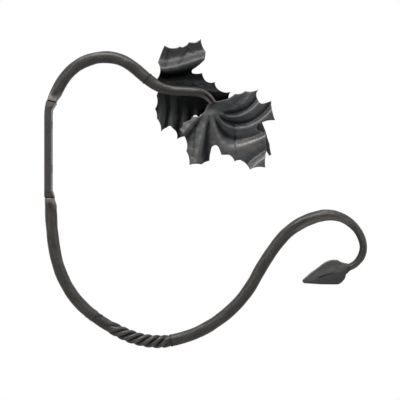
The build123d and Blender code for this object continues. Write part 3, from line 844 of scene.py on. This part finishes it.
# %% The five finishes
# Each finish: cool and warm scale tones, the lighter tone of rubbing and painted highlight, the facet scale
# and the roughness.
BAR = iron("waxed_bar", (0.026, 0.025, 0.024), (0.036, 0.033, 0.029), (0.170, 0.150, 0.135), 150.0, 0.36)
TWIST = iron("waxed_twist", (0.020, 0.019, 0.019), (0.028, 0.025, 0.023), (0.110, 0.090, 0.078), 190.0, 0.33)
LEAF = iron("waxed_leaf", (0.024, 0.026, 0.029), (0.036, 0.036, 0.037), (0.110, 0.106, 0.102), 170.0, 0.40)
PLATE = iron("waxed_plate", (0.034, 0.033, 0.033), (0.048, 0.043, 0.039), (0.100, 0.085, 0.072), 120.0, 0.42)
SEAM = iron("weld_scale", (0.012, 0.011, 0.011), (0.020, 0.018, 0.016), (0.060, 0.048, 0.040), 420.0, 0.52)
finishes = [
    (BAR, (stem, lower, hook, stalk)), (LEAF, (front_leaf, rear_leaf, tip)),
    (TWIST, (twist,)), (SEAM, seams),
]
for finish, pieces in finishes:
    for piece in pieces:
        piece.data.materials.append(finish)
        print(piece.name, "is finished with", finish.name)

# %% [markdown]
# ## Plate and plain seams
# The wall plate and the remaining weld seams are small or flat, and their CAD shape is already right. They
# keep it and only get a finish: the plate is a little lighter, the welds are dark with soot.

# %% Finishes on the pieces that keep their CAD shape
for name in ("wall_plate", "stalk_weld", "twist_weld", "neck_weld", "rear_leaf_weld", "front_leaf_weld"):
    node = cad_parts[name]
    for slot in node.material_slots:
        slot.material = PLATE if name == "wall_plate" else SEAM
    print(name, "keeps its CAD shape")

# %% [markdown]
# ## Photo studio
# The photo has a white ground and soft light from above. The camera, glossy rays and rays through clear
# things see a white surround, other rays a dimmer one, so the iron stays dark and its edges still catch
# white.

# %% World
world = bpy.data.worlds.new("studio")
scene.world = world
world.use_nodes = True
tree = world.node_tree
tree.nodes.clear()
rays = tree.nodes.new("ShaderNodeLightPath")
seen = rays.outputs["Is Camera Ray"]
for kind in ("Is Glossy Ray", "Is Transmission Ray"):
    seen = linked(tree, "ShaderNodeMath", {0: seen, 1: rays.outputs[kind]}, operation="MAXIMUM").outputs[0]
white = linked(tree, "ShaderNodeBackground", {"Color": (1, 1, 1, 1), "Strength": 1.0})
soft = linked(tree, "ShaderNodeBackground", {"Color": (0.95, 0.97, 1, 1), "Strength": 0.22})
surround = linked(tree, "ShaderNodeMixShader", {0: seen, 1: soft.outputs[0], 2: white.outputs[0]})
linked(tree, "ShaderNodeOutputWorld", {"Surface": surround.outputs[0]})
print("surround: white to the camera, dimmer to the iron")

# %% [markdown]
# ## Lights and floor
# Dark iron is shown by wide, soft lights: one above, which draws the bright line along the top of each bar,
# and a weaker one on each side to fill. The floor is plain pale paper, well below the bracket.

# %% Lights
def softbox(name, place, target, wide, tall, watts, tint):
    """A rectangular area light that looks at a point."""
    lamp = bpy.data.lights.new(name, "AREA")
    lamp.shape = "RECTANGLE"
    lamp.size, lamp.size_y, lamp.energy, lamp.color = wide, tall, watts, tint
    box = bpy.data.objects.new(name, lamp)
    box.location = place
    box.rotation_euler = (Vector(target) - Vector(place)).to_track_quat("-Z", "Y").to_euler()
    scene.collection.objects.link(box)
    print(name, watts, "W")


MIDDLE = (0.15, 0.0, -0.05)
softbox("top_box", (0.05, -0.35, 0.95), MIDDLE, 0.9, 0.5, 16.0, (1.0, 0.98, 0.95))
softbox("left_box", (-0.75, -0.75, 0.35), MIDDLE, 0.4, 0.7, 4.0, (1.0, 0.96, 0.92))
softbox("right_box", (1.05, -0.45, 0.25), MIDDLE, 0.4, 0.7, 2.5, (0.92, 0.96, 1.0))

# %% Floor
FLOOR_Z = -0.36
FLOOR_X = (-0.55, 0.85)
FLOOR_Y = (-0.7, 0.7)
corners = [(x, y, FLOOR_Z) for x, y in zip(FLOOR_X + FLOOR_X[::-1], np.repeat(FLOOR_Y, 2).tolist())]
floor_mesh = bpy.data.meshes.new("floor")
floor_mesh.from_pydata(corners, [], [(0, 1, 2, 3)])
floor = bpy.data.objects.new("floor", floor_mesh)
scene.collection.objects.link(floor)
paper = bpy.data.materials.new("pale_paper")
paper.use_nodes = True
paper.node_tree.nodes["Principled BSDF"].inputs["Base Color"].default_value = (0.8, 0.8, 0.79, 1)
paper.node_tree.nodes["Principled BSDF"].inputs["Roughness"].default_value = 0.85
floor_mesh.materials.append(paper)
print("floor at", FLOOR_Z, "m")

# %% [markdown]
# ## Camera
# The photo looks square at the bracket's side. The camera stands far enough off that the bracket hardly
# foreshortens, and its middle is the middle of the photo.

# %% Camera at the photo's place
CAMERA_AT = (0.155, -1.5, -0.051)
CAMERA_LENS = 135
camera_data = bpy.data.cameras.new("camera")
camera_data.lens = CAMERA_LENS
camera_data.sensor_width = 36
camera = bpy.data.objects.new("camera", camera_data)
camera.location = CAMERA_AT
camera.rotation_euler = (math.radians(90), 0, 0)
scene.collection.objects.link(camera)
scene.camera = camera
scene.view_settings.view_transform = "Standard"
print("camera at", CAMERA_AT, "lens", CAMERA_LENS)
